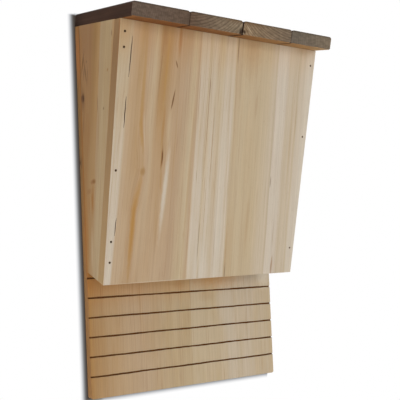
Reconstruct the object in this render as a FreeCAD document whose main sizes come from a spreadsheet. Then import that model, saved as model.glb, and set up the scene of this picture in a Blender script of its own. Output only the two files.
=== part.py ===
import FreeCAD, Part
import os
import Sketcher

# A wall-hung bat box of plain boards.
# X runs along the wall, to the right of a person who faces the box. +Y runs into the wall and +Z up.
# Each piece is drawn with the foot of the back board at height 0 and the wall at Y = 0. The finished
# pieces are then lowered together, so that the origin is the hole of the hanger plate, in the wall's plane.

doc = FreeCAD.newDocument("bat_box")
sheet = doc.addObject("Spreadsheet::Sheet", "Sizes")

# Driving dimensions, in millimetres and degrees.
SIZES = {
    # the whole box
    "box_width": 220,
    "back_height": 360,
    "depth_top": 98,
    "depth_bottom": 43.5,
    "front_bottom": 108,
    "entry_cut": 19.5,
    "front_skew": 3.2,
    "corner_round": 2,
    # board stock
    "back_thick": 9,
    "side_thick": 10,
    "front_thick": 12,
    "bevel_land": 0.6,
    # glue joints, measured from the middle of the box
    "back_joint": 4.5,
    "front_joint_top": 14,
    "front_joint_foot": 23.5,
    # the landing board's saw grooves
    "groove_first": 20.8,
    "groove_pitch": 18.7,
    "groove_wide": 1.6,
    "groove_deep": 1.5,
    "groove_count": 6,
    # roof
    "roof_thick": 12,
    "roof_fall": 15,
    "roof_overhang": 19,
    "roof_board_wide": 56,
    "roof_gap_1": 0.3,
    "roof_gap_2": 1.2,
    "roof_gap_3": 0.3,
    "roof_ease": 2.5,
    # brads
    "brad_radius": 0.9,
    "brad_sunk": 0.5,
    "side_brad_length": 25,
    "roof_brad_length": 30,
    "roof_brad_spread": 28,
    "brad_inset": 5,
    # hanger plate and its screws
    "hang_height": 320,
    "plate_wide": 20,
    "plate_tall": 44,
    "plate_thick": 1.5,
    "plate_below_hole": 15,
    "hole_radius": 4,
    "slot_radius": 2.25,
    "slot_tall": 9,
    "head_room_wide": 12,
    "head_room_tall": 24,
    "head_room_deep": 6.5,
    "screw_length": 7,
    "screw_radius": 1.3,
    "screw_head_radius": 2.6,
    "screw_head_deep": 1.3,
    "screw_inset": 5,
}

# Heights of the brads: up the front's face from its lower edge, and up the back board from its foot.
BRAD_HEIGHTS = {
    "front_left_brad": [222, 209, 104, 40, 21],
    "front_right_brad": [217, 146, 30],
    "back_brad": [135, 185, 235, 285, 335],
}


def fill_sheet():
    cells = dict(SIZES)
    for group, heights in BRAD_HEIGHTS.items():
        for number, height in enumerate(heights, 1):
            cells[f"{group}_{number}"] = height
    for row, (alias, value) in enumerate(cells.items(), 1):
        sheet.set(f"A{row}", alias)
        sheet.set(f"B{row}", str(value))
        sheet.setAlias(f"B{row}", alias)
    doc.recompute()


fill_sheet()

# Worked-out sizes, as expressions on the sheet.
HALF = "Sizes.box_width / 2"
FALL = "(Sizes.roof_fall * 1deg)"
FRONT_TOP = f"(Sizes.back_height - Sizes.depth_top * tan({FALL}))"
FRONT_RISE = f"({FRONT_TOP} - Sizes.front_bottom)"
FRONT_RUN = "(Sizes.depth_top - Sizes.depth_bottom)"
LEAN = f"atan({FRONT_RUN} / {FRONT_RISE})"
FRONT_LENGTH = f"sqrt({FRONT_RISE}^2 + {FRONT_RUN}^2)"
ROOF_LENGTH = f"((Sizes.depth_top + Sizes.roof_overhang) / cos({FALL}))"
ENTRY = "(Sizes.entry_cut * 1deg)"
X_AXIS = FreeCAD.Vector(1, 0, 0)


def value_of(expression):
    value = sheet.evalExpression(expression)
    return float(getattr(value, "Value", value))


def front_point(inwards, up):
    """Y and Z of the point that lies inwards of the front's face and up from its lower edge."""
    y = f"(-Sizes.depth_bottom + ({inwards}) * cos({LEAN}) - ({up}) * sin({LEAN}))"
    z = f"(Sizes.front_bottom + ({inwards}) * sin({LEAN}) + ({up}) * cos({LEAN}))"
    return y, z


def bind(thing, properties):
    for name, expression in properties.items():
        thing.setExpression(name, expression)


def turn_about_x(thing, angle):
    thing.Placement = FreeCAD.Placement(FreeCAD.Vector(), FreeCAD.Rotation(X_AXIS, 1))
    thing.setExpression("Placement.Rotation.Angle", angle)


def sketch_on(body, name, role):
    sketch = body.newObject("Sketcher::SketchObject", name)
    plane = [part for part in body.Origin.OriginFeatures if part.Role == role][0]
    sketch.AttachmentSupport = [(plane, "")]
    sketch.MapMode = "FlatFace"
    return sketch


def pin_point(sketch, edge, end, label, across, up):
    """Ties one end of a sketch edge to the sketch's origin by two named distances."""
    for kind, name, expression in (("DistanceX", "across", across), ("DistanceY", "up", up)):
        rule = Sketcher.Constraint(kind, -1, 1, edge, end, value_of(expression))
        index = sketch.addConstraint(rule)
        sketch.renameConstraint(index, f"{label}_{name}")
        sketch.setExpression(f"Constraints.{label}_{name}", str(expression))


def outline(body, name, role, corners):
    """A closed outline of straight edges through the corners, each a pair of expressions."""
    sketch = sketch_on(body, name, role)
    places = [FreeCAD.Vector(value_of(across), value_of(up), 0) for across, up in corners]
    count = len(corners)
    for index in range(count):
        sketch.addGeometry(Part.LineSegment(places[index], places[(index + 1) % count]), False)
    for index in range(count):
        sketch.addConstraint(Sketcher.Constraint("Coincident", index, 2, (index + 1) % count, 1))
    for index, (across, up) in enumerate(corners):
        pin_point(sketch, index, 1, f"corner_{index}", across, up)
    return sketch


def circle(body, name, role, across, up, radius):
    sketch = sketch_on(body, name, role)
    middle = FreeCAD.Vector(value_of(across), value_of(up), 0)
    up_normal = FreeCAD.Vector(0, 0, 1)
    sketch.addGeometry(Part.Circle(middle, up_normal, value_of(radius)), False)
    pin_point(sketch, 0, 3, "middle", across, up)
    sketch.addConstraint(Sketcher.Constraint("Radius", 0, value_of(radius)))
    index = sketch.ConstraintCount - 1
    sketch.renameConstraint(index, "radius")
    sketch.setExpression("Constraints.radius", radius)
    return sketch


def stadium(body, name, role, foot, top, radius):
    """An upright outline with round ends, whose two centres are at heights foot and top."""
    sketch = sketch_on(body, name, role)
    low, high, size = value_of(foot), value_of(top), value_of(radius)
    right_foot = FreeCAD.Vector(size, low, 0)
    right_top = FreeCAD.Vector(size, high, 0)
    left_top = FreeCAD.Vector(-size, high, 0)
    left_foot = FreeCAD.Vector(-size, low, 0)
    crown = FreeCAD.Vector(0, high + size, 0)
    base = FreeCAD.Vector(0, low - size, 0)
    edges = [
        Part.LineSegment(right_foot, right_top),
        Part.Arc(right_top, crown, left_top),
        Part.LineSegment(left_top, left_foot),
        Part.Arc(left_foot, base, right_foot),
    ]
    for edge in edges:
        sketch.addGeometry(edge, False)
    for before, after in ((0, 1), (1, 2), (2, 3), (3, 0)):
        sketch.addConstraint(Sketcher.Constraint("Tangent", before, 2, after, 1))
    pin_point(sketch, 1, 3, "top", "0", top)
    pin_point(sketch, 3, 3, "foot", "0", foot)
    index = sketch.addConstraint(Sketcher.Constraint("Radius", 1, size))
    sketch.renameConstraint(index, "radius")
    sketch.setExpression("Constraints.radius", radius)
    return sketch


def pad(body, sketch, length, backwards=False):
    feature = body.newObject("PartDesign::Pad", sketch.Name + "_pad")
    feature.Profile = sketch
    feature.Reversed = backwards
    feature.setExpression("Length", length)
    doc.recompute()
    return feature


def pocket(body, sketch, depth=None, backwards=False):
    """Cuts to a depth, or right through both ways. Stops if nothing is cut."""
    before = body.Shape.Volume
    feature = body.newObject("PartDesign::Pocket", sketch.Name + "_cut")
    feature.Profile = sketch
    if depth is None:
        feature.Type = "ThroughAll"
        feature.SideType = "Symmetric"
    else:
        feature.Reversed = backwards
        feature.setExpression("Length", depth)
    doc.recompute()
    if not body.Shape.Volume < before:
        raise RuntimeError(f"{sketch.Name} cuts nothing")
    return feature


def edge_names(body, chosen):
    """Names of the body's straight edges for which chosen(middle, direction) holds."""
    names = []
    for number, edge in enumerate(body.Shape.Edges, 1):
        if edge.Curve.TypeId != "Part::GeomLine":
            continue
        if chosen(edge.CenterOfMass, edge.tangentAt(edge.FirstParameter)):
            names.append(f"Edge{number}")
    return names


def round_edges(body, name, radius, chosen):
    base = (body.Tip, edge_names(body, chosen))
    feature = body.newObject("PartDesign::Fillet", name)
    feature.Base = base
    feature.setExpression("Radius", radius)
    doc.recompute()
    return feature


def rod(name, radius, length, x, y, z, angle="0deg"):
    """A round rod from the point, along +Z turned about X by the angle."""
    cylinder = doc.addObject("Part::Cylinder", name)
    turn_about_x(cylinder, angle)
    bind(cylinder, {
        "Radius": radius,
        "Height": length,
        "Placement.Base.x": x,
        "Placement.Base.y": y,
        "Placement.Base.z": z,
    })
    return cylinder


def lower_to_hanger(thing, name):
    thing.Label = name
    thing.setExpression("Placement.Base.z", "-Sizes.hang_height")
    return thing


def group(name, members):
    """Identical fasteners as one sub-part of separate solids."""
    thing = doc.addObject("Part::Compound", name)
    thing.Links = members
    return lower_to_hanger(thing, name)


def bored_piece(name, body, cutters):
    """The body less the cutters, which are rods or bodies in place."""
    tool = doc.addObject("Part::Compound", name + "_cutters")
    tool.Links = cutters
    thing = doc.addObject("Part::Cut", name)
    thing.Base = body
    thing.Tool = tool
    doc.recompute()
    if not thing.Shape.Volume < body.Shape.Volume:
        raise RuntimeError(f"nothing is cut from {name}")
    return lower_to_hanger(thing, name)


class BradRow:
    """Brads of one length and their pilot holes, each driven along its own line."""

    def __init__(self, name, length):
        self.name = name
        self.length = length
        self.brads = []
        self.pilots = []

    def drive(self, x, y, z, angle):
        """Adds a brad whose outer end is just under the surface point; the angle turns +Z outwards."""
        number = len(self.brads) + 1
        reach = f"({self.length} + Sizes.brad_sunk)"
        y_inner = f"{y} + {reach} * sin({angle})"
        z_inner = f"{z} - {reach} * cos({angle})"
        pilot_length = f"{self.length} + Sizes.brad_sunk + Sizes.brad_inset"
        self.brads.append(rod(f"{self.name}_{number}", "Sizes.brad_radius", self.length, x, y_inner, z_inner, angle))
        self.pilots.append(
            rod(f"{self.name}_pilot_{number}", "Sizes.brad_radius", pilot_length, x, y_inner, z_inner, angle)
        )


# Brads


def front_brads(side):
    row = BradRow(f"front_brads_{side}", "Sizes.side_brad_length")
    sign = "-" if side == "left" else ""
    x = f"{sign}({HALF} - Sizes.brad_inset)"
    for number in range(1, len(BRAD_HEIGHTS[f"front_{side}_brad"]) + 1):
        y, z = front_point("0", f"Sizes.front_{side}_brad_{number}")
        row.drive(x, y, z, f"(90deg + {LEAN})")
    return row


def back_brads(side):
    row = BradRow(f"back_brads_{side}", "Sizes.side_brad_length")
    sign = "-" if side == "left" else ""
    x = f"{sign}({HALF} - Sizes.brad_inset)"
    for number in range(1, len(BRAD_HEIGHTS["back_brad"]) + 1):
        row.drive(x, "0", f"Sizes.back_brad_{number}", "(-90deg)")
    return row


def roof_board_span(number):
    """Left and right edge of a roof board. The last one is trimmed to the width of the box."""
    gaps = "".join(f" + Sizes.roof_gap_{earlier}" for earlier in range(1, number))
    left = f"(-{HALF} + {number - 1} * Sizes.roof_board_wide{gaps})"
    right = f"({HALF})" if number == ROOF_BOARDS else f"({left} + Sizes.roof_board_wide)"
    return left, right


ROOF_BOARDS = 4


def roof_brads(edge):
    """Two brads a board, into the top edge of the back board or of the front board."""
    row = BradRow(f"roof_brads_{edge}", "Sizes.roof_brad_length")
    if edge == "back":
        angle = "0deg"
        y = "(-Sizes.back_thick / 2)"
        z = f"(Sizes.back_height + {y} * tan({FALL}) + Sizes.roof_thick / cos({FALL}))"
    else:
        angle = LEAN
        middle = "Sizes.front_thick / 2"
        slope = f"({FALL} - {LEAN})"
        up = f"{FRONT_LENGTH} + {middle} * tan{slope} + Sizes.roof_thick / cos{slope}"
        y, z = front_point(middle, up)
    for number in range(1, ROOF_BOARDS + 1):
        left, right = roof_board_span(number)
        for side in ("-", "+"):
            x = f"(({left} + {right}) / 2 {side} Sizes.roof_brad_spread / 2)"
            row.drive(x, y, z, angle)
    return row


# Boards


def back_board(side):
    """One stave of the back board, with its share of the grooves."""
    name = f"back_board_{side}"
    body = doc.addObject("PartDesign::Body", name + "_stave")
    left, right = (f"-{HALF}", "Sizes.back_joint") if side == "left" else ("Sizes.back_joint", HALF)
    front = "-Sizes.back_thick"
    corners = [
        ("0", "0"),
        (front, "0"),
        (front, f"Sizes.back_height - Sizes.back_thick * tan({FALL})"),
        ("0", "Sizes.back_height"),
    ]
    section = outline(body, name + "_section", "YZ_Plane", corners)
    section.setExpression("AttachmentOffset.Base.z", left)
    pad(body, section, f"({right}) - ({left})")
    outer_x = value_of(left if side == "left" else right)
    round_edges(
        body,
        name + "_corner",
        "Sizes.corner_round",
        lambda middle, way: abs(middle.x - outer_x) < 0.01 and abs(middle.z) < 0.01 and abs(way.y) > 0.9,
    )
    low = "Sizes.groove_first - Sizes.groove_wide / 2"
    high = "Sizes.groove_first + Sizes.groove_wide / 2"
    bottom = "-Sizes.back_thick + Sizes.groove_deep"
    groove = outline(body, name + "_groove", "YZ_Plane", [(front, low), (bottom, low), (bottom, high), (front, high)])
    cut = pocket(body, groove)
    one_groove = body.Shape.Volume
    rows = body.newObject("PartDesign::LinearPattern", name + "_grooves")
    rows.Originals = [cut]
    upright = [part for part in body.Origin.OriginFeatures if part.Role == "Z_Axis"][0]
    rows.Direction = (upright, [""])
    rows.setExpression("Occurrences", "Sizes.groove_count")
    rows.setExpression("Length", "(Sizes.groove_count - 1) * Sizes.groove_pitch")
    body.Tip = rows
    doc.recompute()
    if not body.Shape.Volume < one_groove:
        raise RuntimeError(f"the grooves of {name} are not repeated")
    return body


def side_board(side):
    """A tapered side board between the back board and the front board."""
    name = f"side_board_{side}"
    body = doc.addObject("PartDesign::Body", name + "_blank")
    left = f"-{HALF}" if side == "left" else f"{HALF} - Sizes.side_thick"
    raised = "0" if side == "left" else "Sizes.front_skew"
    lip_y, lip_z = front_point("0", raised)
    rear = "-Sizes.back_thick"
    foot = f"{raised} + Sizes.front_thick * tan({ENTRY} - {LEAN})"
    head = f"{FRONT_LENGTH} + Sizes.front_thick * tan({FALL} - {LEAN})"
    corners = [
        (rear, f"{lip_z} + ({rear} - {lip_y}) * tan({ENTRY})"),
        front_point("Sizes.front_thick", foot),
        front_point("Sizes.front_thick", head),
        (rear, f"Sizes.back_height - Sizes.back_thick * tan({FALL})"),
    ]
    section = outline(body, name + "_section", "YZ_Plane", corners)
    section.setExpression("AttachmentOffset.Base.z", left)
    pad(body, section, "Sizes.side_thick")
    return body


def front_board(side):
    """One stave of the leaning front, drawn lying in its own plane with its outer face at Y = 0."""
    name = f"front_board_{side}"
    body = doc.addObject("PartDesign::Body", name + "_stave")
    turn_about_x(body, LEAN)
    bind(body, {"Placement.Base.y": "-Sizes.depth_bottom", "Placement.Base.z": "Sizes.front_bottom"})
    joint_rise = f"Sizes.front_skew * (Sizes.front_joint_foot + {HALF}) / Sizes.box_width"
    joint_foot = ("Sizes.front_joint_foot", joint_rise)
    joint_top = ("Sizes.front_joint_top", FRONT_LENGTH)
    if side == "left":
        corners = [(f"-{HALF}", "0"), joint_foot, joint_top, (f"-{HALF}", FRONT_LENGTH)]
    else:
        corners = [joint_foot, (HALF, "Sizes.front_skew"), (HALF, FRONT_LENGTH), joint_top]
    face = outline(body, name + "_face", "XZ_Plane", corners)
    pad(body, face, "Sizes.front_thick", backwards=True)
    before = body.Shape.Volume
    inner = value_of("Sizes.front_thick")
    upright = body.getGlobalPlacement().inverse()

    def inner_foot(middle, way):
        place = upright.multVec(middle)
        return abs(place.y - inner) < 0.01 and place.z < value_of("Sizes.front_skew") and abs(way.x) > 0.9

    foot_edge = (body.Tip, edge_names(body, inner_foot))
    feature = body.newObject("PartDesign::Chamfer", name + "_entry_bevel")
    feature.Base = foot_edge
    feature.ChamferType = "Two distances"
    bevel_run = "(Sizes.front_thick - Sizes.bevel_land)"
    bind(feature, {"Size": bevel_run, "Size2": f"{bevel_run} * tan({ENTRY} - {LEAN})"})
    doc.recompute()
    if not body.Shape.Volume < before:
        raise RuntimeError(f"the foot of {name} is not bevelled")
    return body


def roof_board(number):
    """A roof board, drawn lying flat with its rear end at Y = 0 and its underside at height 0."""
    name = f"roof_board_{number}"
    body = doc.addObject("PartDesign::Body", name + "_blank")
    turn_about_x(body, FALL)
    body.setExpression("Placement.Base.z", "Sizes.back_height")
    left, right = roof_board_span(number)
    thick = "Sizes.roof_thick"
    corners = [(left, "0"), (right, "0"), (right, thick), (left, thick)]
    pad(body, outline(body, name + "_end", "XZ_Plane", corners), ROOF_LENGTH)
    flat = body.getGlobalPlacement().inverse()
    top = value_of(thick)
    along = flat.Rotation

    def upper_long_edge(middle, way):
        return abs(flat.multVec(middle).z - top) < 0.01 and abs(along.multVec(way).y) > 0.9

    round_edges(body, name + "_eased", "Sizes.roof_ease", upper_long_edge)
    return body


# Hanger

PLATE_RADIUS = "Sizes.plate_wide / 2"
PLATE_FOOT = "(Sizes.hang_height - Sizes.plate_below_hole)"
PLATE_TOP = f"({PLATE_FOOT} + Sizes.plate_tall)"


def hanger_blank(name, depth, radius, foot, top):
    """A round-ended slab let into the rear face from the wall's plane."""
    body = doc.addObject("PartDesign::Body", name)
    low = f"{foot} + {radius}"
    high = f"{top} - {radius}"
    pad(body, stadium(body, name + "_outline", "XZ_Plane", low, high, radius), depth)
    return body


def head_room():
    """The hollow behind the plate where the wall screw's head goes in and drops."""
    foot = "(Sizes.hang_height - Sizes.head_room_wide / 2)"
    top = f"({foot} + Sizes.head_room_tall)"
    return hanger_blank("head_room", "Sizes.head_room_deep", "Sizes.head_room_wide / 2", foot, top)


def hanger_screw(number, height):
    """A short countersunk screw, turned about its own axis, with its head flush with the wall's plane."""
    body = doc.addObject("PartDesign::Body", f"hanger_screw_{number}")
    body.setExpression("Placement.Base.z", height)
    neck = "Sizes.screw_radius"
    point = "Sizes.screw_length"
    corners = [
        ("0", "0"),
        ("0", "Sizes.screw_head_radius"),
        ("-Sizes.screw_head_deep", neck),
        (f"-{point} + {neck}", neck),
        (f"-{point}", "0"),
    ]
    section = outline(body, f"hanger_screw_{number}_section", "YZ_Plane", corners)
    turned = body.newObject("PartDesign::Revolution", f"hanger_screw_{number}_turned")
    turned.Profile = section
    turned.ReferenceAxis = (section, ["H_Axis"])
    turned.Angle = 360
    doc.recompute()
    return body


def hanger_plate(screws):
    body = hanger_blank("hanger_plate_blank", "Sizes.plate_thick", PLATE_RADIUS, PLATE_FOOT, PLATE_TOP)
    hole = circle(body, "hanger_hole", "XZ_Plane", "0", "Sizes.hang_height", "Sizes.hole_radius")
    pocket(body, hole)
    slot_top = "Sizes.hang_height + Sizes.slot_tall"
    slot = stadium(body, "hanger_slot", "XZ_Plane", "Sizes.hang_height", slot_top, "Sizes.slot_radius")
    pocket(body, slot)
    return bored_piece("hanger_plate", body, screws)


def build():
    rows = {row.name: row for row in (
        front_brads("left"),
        front_brads("right"),
        back_brads("left"),
        back_brads("right"),
        roof_brads("back"),
        roof_brads("front"),
    )}
    pilots = {name: row.pilots for name, row in rows.items()}
    pieces = [group(name, row.brads) for name, row in rows.items()]

    screws = [
        hanger_screw(1, f"{PLATE_FOOT} + Sizes.screw_inset"),
        hanger_screw(2, f"{PLATE_TOP} - Sizes.screw_inset"),
    ]
    pieces.append(group("hanger_screws", screws))
    pieces.append(hanger_plate(screws))
    recess = hanger_blank("plate_recess", "Sizes.plate_thick", PLATE_RADIUS, PLATE_FOOT, PLATE_TOP)
    hollows = [recess, head_room()] + screws

    for side in ("left", "right"):
        back = pilots[f"back_brads_{side}"]
        front = pilots[f"front_brads_{side}"]
        pieces.append(bored_piece(f"back_board_{side}", back_board(side), back + pilots["roof_brads_back"] + hollows))
        pieces.append(bored_piece(f"side_board_{side}", side_board(side), back + front))
        pieces.append(bored_piece(f"front_board_{side}", front_board(side), front + pilots["roof_brads_front"]))
    for number in range(1, ROOF_BOARDS + 1):
        cutters = pilots["roof_brads_back"] + pilots["roof_brads_front"]
        pieces.append(bored_piece(f"roof_board_{number}", roof_board(number), cutters))
    doc.recompute()
    return pieces


def check(pieces):
    for thing in doc.Objects:
        if "Invalid" in thing.State or "Error" in thing.State:
            raise RuntimeError(f"{thing.Name} is {thing.State}")
    for piece in pieces:
        if piece.Shape.isNull() or not piece.Shape.isValid():
            raise RuntimeError(f"{piece.Label} has no valid shape")


def write(pieces):
    os.makedirs("parts", exist_ok=True)
    for piece in pieces:
        piece.Shape.exportStep(os.path.join("parts", piece.Label + ".step"))
        print(piece.Label, len(piece.Shape.Solids), "solid(s)", round(piece.Shape.Volume), "cubic mm")


finished = build()
check(finished)
write(finished)
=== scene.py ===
import random
from collections import namedtuple
from math import atan, atan2, cos, hypot, pi, radians, sin, tan

import bmesh
import bpy
from mathutils import Euler, Matrix, Vector


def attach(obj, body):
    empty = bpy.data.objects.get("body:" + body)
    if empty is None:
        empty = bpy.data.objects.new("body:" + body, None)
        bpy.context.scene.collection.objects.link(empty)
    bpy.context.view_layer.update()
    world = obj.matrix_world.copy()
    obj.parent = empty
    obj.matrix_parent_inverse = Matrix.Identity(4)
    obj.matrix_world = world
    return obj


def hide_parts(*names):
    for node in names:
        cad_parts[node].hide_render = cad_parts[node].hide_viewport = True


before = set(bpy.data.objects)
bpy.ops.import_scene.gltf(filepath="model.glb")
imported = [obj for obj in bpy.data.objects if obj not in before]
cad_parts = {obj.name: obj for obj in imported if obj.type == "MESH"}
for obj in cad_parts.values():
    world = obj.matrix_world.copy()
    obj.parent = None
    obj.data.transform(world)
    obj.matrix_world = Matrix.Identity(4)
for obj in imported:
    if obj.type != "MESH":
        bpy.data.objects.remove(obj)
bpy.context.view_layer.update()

# A wall-hung bat box of plain boards with a stained roof. Each board is shaped in millimetres in its own
# frame: X across the board, Y through its thickness from the outer face, or up from the underside on the
# roof, and Z along its grain.
MM = 0.001

# The box and its boards
HALF_WIDTH = 110.0
FOOT = -320.0
BACK_TALL = 360.0
BACK_THICK = 9.0
BACK_JOINT = 4.5
DEPTH_TOP = 98.0
DEPTH_BOTTOM = 43.5
FRONT_BOTTOM = 108.0
FRONT_THICK = 12.0
FRONT_SKEW = 3.2
FRONT_JOINT_TOP = 14.0
FRONT_JOINT_FOOT = 23.5
ENTRY_CUT = radians(19.5)
BEVEL_LAND = 0.6
SIDE_THICK = 10.0
ROOF_THICK = 12.0
ROOF_FALL = radians(15)
ROOF_OVERHANG = 19.0
ROOF_EDGES = ((-110.0, -54.0), (-53.7, 2.3), (3.5, 59.5), (59.8, 110.0))

# Spare wood at a blank's head and foot, which the saw takes off
SPARE_HEAD = 10.0
SPARE_FOOT = 1.0

# Worn and rounded edges
ARRIS = 0.45
SIDE_ARRIS = 0.25
ROOF_ARRIS = 0.4
ROOF_EASE = 2.5
ROOF_WORN = 1.6
CORNER_ROUND = 2.0

# The landing board's saw grooves
GROOVE_FIRST = 20.8
GROOVE_PITCH = 18.7
GROOVE_COUNT = 6
GROOVE_WIDE = 1.6
GROOVE_DEEP = 1.5
GROOVE_STEP = 2.0

# Brads. A mouth is the radius and the depth of the crushed rim round a brad.
BRAD_RADIUS = 0.9
BRAD_FROM_EDGE = 5.0
BRAD_CLEARANCE = 0.03
SIDE_BRAD = 25.5
ROOF_BRAD = 30.5
ROOF_BRAD_SPREAD = 28.0
FRONT_LEFT_BRADS = (222, 209, 104, 40, 21)
FRONT_RIGHT_BRADS = (217, 146, 30)
BACK_BRADS = (135, 185, 235, 285, 335)
PLAIN_MOUTH = (1.1, 0.5)
FRONT_LEFT_MOUTH = (1.15, 0.5)
FRONT_RIGHT_MOUTH = (1.0, 0.4)

# The hanger plate, the hollow behind it for the wall screw's head, and its own screws
PLATE_WIDE = 20.0
PLATE_TALL = 44.0
PLATE_THICK = 1.5
PLATE_BELOW_HOLE = 15.0
HEAD_ROOM_WIDE = 12.0
HEAD_ROOM_TALL = 24.0
HEAD_ROOM_DEEP = 6.5
HANGER_SCREW = 7.0
HANGER_SCREW_RADIUS = 1.3
HANGER_SCREWS_Z = (-10.0, 24.0)

# Cutters stand out of the face that they cut, and corners nearer than a speck become one.
OVERSHOOT = 2.0
BORE_OVERSHOOT = 3.0
PAST_BACK = BACK_THICK + OVERSHOOT
HOLE_SIDES = 16
SLOT_SIDES = 32
SPECK = 0.002

# How an edge is told from the others
NEARLY_ALONG = 0.9
SHARP = radians(40)
ON_FACE = 0.1
ON_JOINT = 0.01

FRONT_TOP = BACK_TALL - DEPTH_TOP * tan(ROOF_FALL)
FRONT_RISE = FRONT_TOP - FRONT_BOTTOM
LEAN = atan((DEPTH_TOP - DEPTH_BOTTOM) / FRONT_RISE)
FRONT_LENGTH = FRONT_RISE / cos(LEAN)
ROOF_LENGTH = (DEPTH_TOP + ROOF_OVERHANG) / cos(ROOF_FALL)

BoardFrame = namedtuple("BoardFrame", "origin turn")
BACK = BoardFrame((0, -BACK_THICK, FOOT), (0, 0, 0))
LEFT = BoardFrame((-HALF_WIDTH, 0, FOOT), (0, 0, radians(-90)))
RIGHT = BoardFrame((HALF_WIDTH, 0, FOOT), (0, 0, radians(90)))
FRONT = BoardFrame((0, -DEPTH_BOTTOM, FOOT + FRONT_BOTTOM), (LEAN, 0, 0))
ROOF = BoardFrame((0, 0, FOOT + BACK_TALL), (ROOF_FALL + radians(90), 0, 0))


def in_place(board_frame):
    """From a board's own millimetres to the box's metres."""
    turn = Euler(board_frame.turn).to_matrix().to_4x4()
    return Matrix.Scale(MM, 4) @ Matrix.Translation(board_frame.origin) @ turn


# Shaping the boards


def block(low, high):
    bm = bmesh.new()
    low, high = Vector(low), Vector(high)
    place = Matrix.Translation((low + high) / 2) @ Matrix.Diagonal((*(high - low), 1))
    bmesh.ops.create_cube(bm, size=1, matrix=place)
    return bm


def saw_off(bm, point, outwards):
    """Cuts away what lies beyond a plane and closes the cut."""
    whole = bm.verts[:] + bm.edges[:] + bm.faces[:]
    cut = bmesh.ops.bisect_plane(
        bm, geom=whole, dist=1e-5, plane_co=point, plane_no=outwards, clear_outer=True)
    rim = [e for e in cut["geom_cut"] if isinstance(e, bmesh.types.BMEdge)]
    bmesh.ops.holes_fill(bm, edges=rim, sides=0)


def middle(edge):
    return (edge.verts[0].co + edge.verts[1].co) / 2


def runs_along(edge, axis):
    way = (edge.verts[1].co - edge.verts[0].co).normalized()
    return abs(way[axis]) > NEARLY_ALONG


def is_sharp(edge):
    return edge.calc_face_angle(0) > SHARP


def ease(bm, width, segments, chosen):
    """Rounds the chosen edges over."""
    edges = [e for e in bm.edges if chosen(e)]
    bmesh.ops.bevel(
        bm, geom=edges, offset=width, offset_type="OFFSET", segments=segments,
        profile=0.5, affect="EDGES", material=-1, clamp_overlap=True,
    )


def turned(profile):
    """A closed round shape from (radius, height) points, turned about Z."""
    bm = bmesh.new()
    points = [bm.verts.new((radius, 0, height)) for radius, height in profile]
    for first, second in zip(points, points[1:]):
        bm.edges.new((first, second))
    bmesh.ops.spin(
        bm, geom=bm.verts[:] + bm.edges[:], cent=(0, 0, 0), axis=(0, 0, 1),
        angle=2 * pi, steps=HOLE_SIDES, use_merge=True, use_duplicate=False,
    )
    bmesh.ops.remove_doubles(bm, verts=bm.verts, dist=1e-4)
    bmesh.ops.recalc_face_normals(bm, faces=bm.faces)
    return bm


def slotted(radius, foot, top, near, far):
    """A round-ended slab that stands from height foot to top and reaches from Y near to Y far."""
    bm = bmesh.new()
    half_step = Matrix.Rotation(pi / SLOT_SIDES, 4, "Y")
    lying = Matrix.Rotation(pi / 2, 4, "X")
    low = Matrix.Translation((0, near, foot + radius))
    place = low @ half_step @ lying
    bmesh.ops.create_circle(bm, cap_ends=True, radius=radius, segments=SLOT_SIDES, matrix=place)
    for v in bm.verts:
        if v.co.z > foot + radius:
            v.co.z += top - foot - 2 * radius
    grown = bmesh.ops.extrude_face_region(bm, geom=bm.faces[:])
    moved = [v for v in grown["geom"] if isinstance(v, bmesh.types.BMVert)]
    bmesh.ops.translate(bm, verts=moved, vec=(0, far - near, 0))
    bmesh.ops.recalc_face_normals(bm, faces=bm.faces)
    return bm


def gather(parts):
    """One bmesh that holds all the cutters of a board."""
    whole = bmesh.new()
    for part in parts:
        mesh = bpy.data.meshes.new("cutter")
        part.to_mesh(mesh)
        part.free()
        whole.from_mesh(mesh)
        bpy.data.meshes.remove(mesh)
    return whole


def in_box(bm, board_frame):
    bm.transform(in_place(board_frame))
    return bm


def open_piece(name, bm, materials):
    """An object whose faces stay as they point."""
    mesh = bpy.data.meshes.new(name)
    bm.to_mesh(mesh)
    bm.free()
    for material in materials:
        mesh.materials.append(material)
    thing = bpy.data.objects.new(name, mesh)
    bpy.context.scene.collection.objects.link(thing)
    return thing


def closed_piece(name, bm, materials):
    """An object whose faces point outwards."""
    bmesh.ops.recalc_face_normals(bm, faces=bm.faces)
    return open_piece(name, bm, materials)


def cut_away(board, cutters, speck=SPECK):
    """Takes the cutters out of the board. The cut faces get the board's second finish."""
    for face in cutters.faces:
        face.material_index = 1
    tool = closed_piece("cutter", cutters, board.data.materials)
    taken = board.modifiers.new("cut", "BOOLEAN")
    taken.object = tool
    taken.operation = "DIFFERENCE"
    taken.solver = "EXACT"
    bpy.context.view_layer.update()
    seen = board.evaluated_get(bpy.context.evaluated_depsgraph_get())
    result = bpy.data.meshes.new_from_object(seen)
    clean = bmesh.new()
    clean.from_mesh(result)
    bmesh.ops.remove_doubles(clean, verts=clean.verts, dist=speck)
    bmesh.ops.dissolve_degenerate(clean, edges=clean.edges, dist=speck)
    clean.to_mesh(result)
    clean.free()
    board.modifiers.clear()
    blank = board.data
    board.data = result
    bpy.data.meshes.remove(blank)
    bpy.data.objects.remove(tool)
    result.name = board.name


def set_board(name, bm, board_frame, materials, node, cutters=()):
    board = closed_piece(name, bm, materials)
    if cutters:
        cut_away(board, gather(cutters))
    board.data.transform(in_place(board_frame))
    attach(board, "root")
    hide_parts(node)
    return board


# How grooves and checks wander: the waves as (size, length), and how much of them depths and checks take
WAVES = ((0.11, 13.0), (0.06, 4.3), (0.05, 1.7))
DEPTH_WANDER = 1.5
CHECK_WANDER = 1.4
CHECK_CUTS = 12
CHECK_TIP = 0.12
CHECK_TAPER = 0.6


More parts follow.
